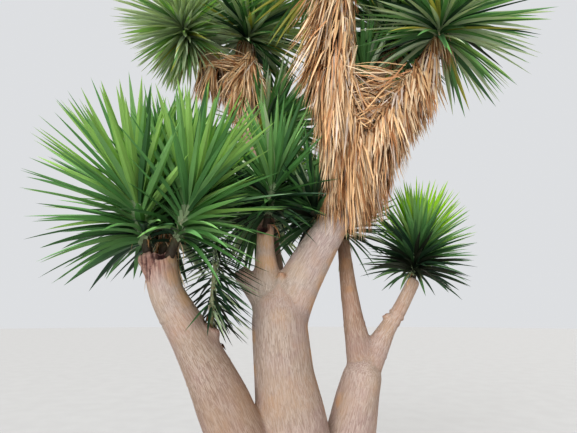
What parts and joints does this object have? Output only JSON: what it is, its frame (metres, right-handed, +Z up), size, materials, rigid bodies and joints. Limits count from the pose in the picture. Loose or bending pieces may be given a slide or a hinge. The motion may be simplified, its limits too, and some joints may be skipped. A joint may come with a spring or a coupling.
{
  "type": "spineless yucca tree",
  "caption": "Garden tree yucca: stems rising from one swollen foot, rosettes of sword-shaped green leaves on forked limbs, and sleeves of dry hanging leaves round the tallest limbs.",
  "frame": {"origin": "centre of the foot's flat cut at ground level", "axes": "+Z up along the tree's height, +X to the right as seen from the front, +Y to the back; the front faces -Y"},
  "size_m": [2.7596, 1.9691, 4.3274],
  "materials": {
    "bark": "smooth tan bark with fine pale fissures",
    "leaf": "stiff satin green blades",
    "dead_leaf": "dry matt straw-brown blades"
  },
  "bodies": {
    "root": {"trunk": "bark", "left_trunk": "bark", "right_trunk": "bark", "inner_stem": "bark", "outer_stem": "bark", "main_bough": "bark", "middle_limb": "bark", "back_limb": "bark", "column_limb": "bark", "right_limb": "bark", "back_right_limb": "bark", "back_left_limb": "bark", "column_thatch": "dead_leaf", "right_thatch": "dead_leaf", "back_thatch": "dead_leaf", "back_left_thatch": "dead_leaf", "left_front_rosette": "leaf", "left_inner_rosette": "leaf", "left_back_rosette": "leaf", "middle_rosette": "leaf", "bough_shoot": "leaf", "shoulder_shoot": "leaf", "top_rosette": "leaf", "top_back_rosette": "leaf", "high_right_rosette": "leaf", "back_right_rosette": "leaf", "back_right_shoot": "leaf", "back_left_rosette": "leaf", "upper_back_rosette": "leaf", "rear_rosette": "leaf", "low_rear_rosette": "leaf", "outer_right_rosette": "leaf", "inner_right_rosette": "leaf"}
  },
  "joints": []
}
